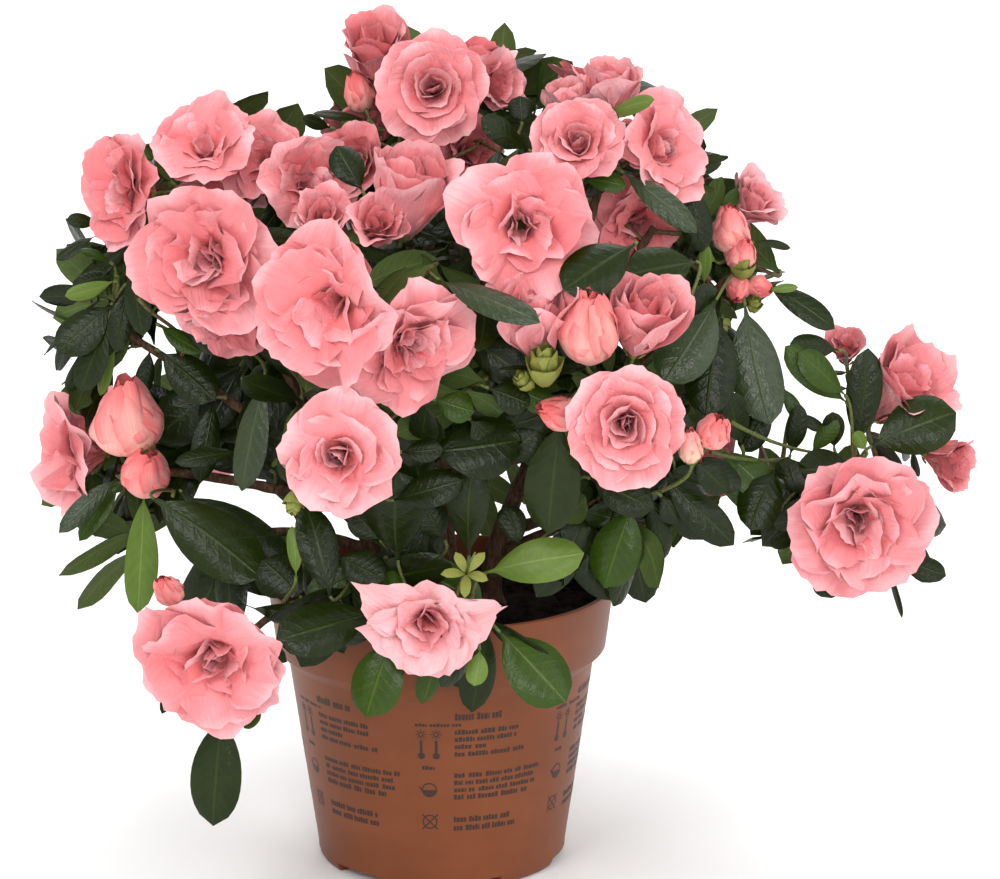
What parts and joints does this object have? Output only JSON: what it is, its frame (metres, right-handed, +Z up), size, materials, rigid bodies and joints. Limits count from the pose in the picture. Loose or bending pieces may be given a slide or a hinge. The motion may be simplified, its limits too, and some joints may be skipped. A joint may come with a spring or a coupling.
{
  "type": "potted azalea shrub",
  "caption": "Small evergreen azalea shrub in double coral-pink flower, with dark leathery leaves, growing in a tapered terracotta-coloured plastic pot.",
  "frame": {"origin": "centre of the flat underside of the pot, on the surface that the pot stands on", "axes": "+Z up along the pot's axis, +X towards the plant's longest side spray (the viewer's right), -Y towards the viewer in front, which is the plant's showing side"},
  "size_m": [0.323, 0.2554, 0.2899],
  "materials": {
    "pot_plastic": "satin moulded",
    "root_ball_soil": "rough moist peat",
    "azalea_wood": "rough bark",
    "leaf_mass": "leathery leaves",
    "bloom_mass": "soft petals"
  },
  "bodies": {
    "root": {"bough_back_left": "azalea_wood", "bough_back_low": "azalea_wood", "bough_back_low_left": "azalea_wood", "bough_back_low_right": "azalea_wood", "bough_back_mid": "azalea_wood", "bough_back_right": "azalea_wood", "bough_back_top": "azalea_wood", "bough_bloom_low_left": "azalea_wood", "bough_bloom_mid": "azalea_wood", "bough_crown_left": "azalea_wood", "bough_far_right": "azalea_wood", "bough_front_left": "azalea_wood", "bough_front_low": "azalea_wood", "bough_front_right": "azalea_wood", "bough_front_skirt": "azalea_wood", "bough_leaves_front": "azalea_wood", "bough_leaves_right": "azalea_wood", "bough_leaves_rim": "azalea_wood", "bough_low_left": "azalea_wood", "bough_shoulder_left": "azalea_wood", "bough_shoulder_right": "azalea_wood", "bough_side_left": "azalea_wood", "bough_top": "azalea_wood", "bough_top_right": "azalea_wood", "bough_upper_mid": "azalea_wood", "bough_upper_right": "azalea_wood", "mass_back_left": "bloom_mass", "mass_back_low": "bloom_mass", "mass_back_low_left": "bloom_mass", "mass_back_low_right": "bloom_mass", "mass_back_mid": "bloom_mass", "mass_back_right": "bloom_mass", "mass_back_top": "bloom_mass", "mass_bloom_low_left": "bloom_mass", "mass_bloom_mid": "bloom_mass", "mass_crown_left": "bloom_mass", "mass_far_right": "bloom_mass", "mass_front_left": "bloom_mass", "mass_front_low": "bloom_mass", "mass_front_right": "bloom_mass", "mass_front_skirt": "bloom_mass", "mass_leaves_front": "leaf_mass", "mass_leaves_right": "leaf_mass", "mass_leaves_rim": "leaf_mass", "mass_low_left": "leaf_mass", "mass_shoulder_left": "leaf_mass", "mass_shoulder_right": "bloom_mass", "mass_side_left": "bloom_mass", "mass_top": "bloom_mass", "mass_top_right": "bloom_mass", "mass_upper_mid": "bloom_mass", "mass_upper_right": "bloom_mass", "pot": "pot_plastic", "root_ball": "root_ball_soil", "stem_back": "azalea_wood", "stem_centre": "azalea_wood", "stem_left": "azalea_wood", "stem_right": "azalea_wood"}
  },
  "joints": []
}
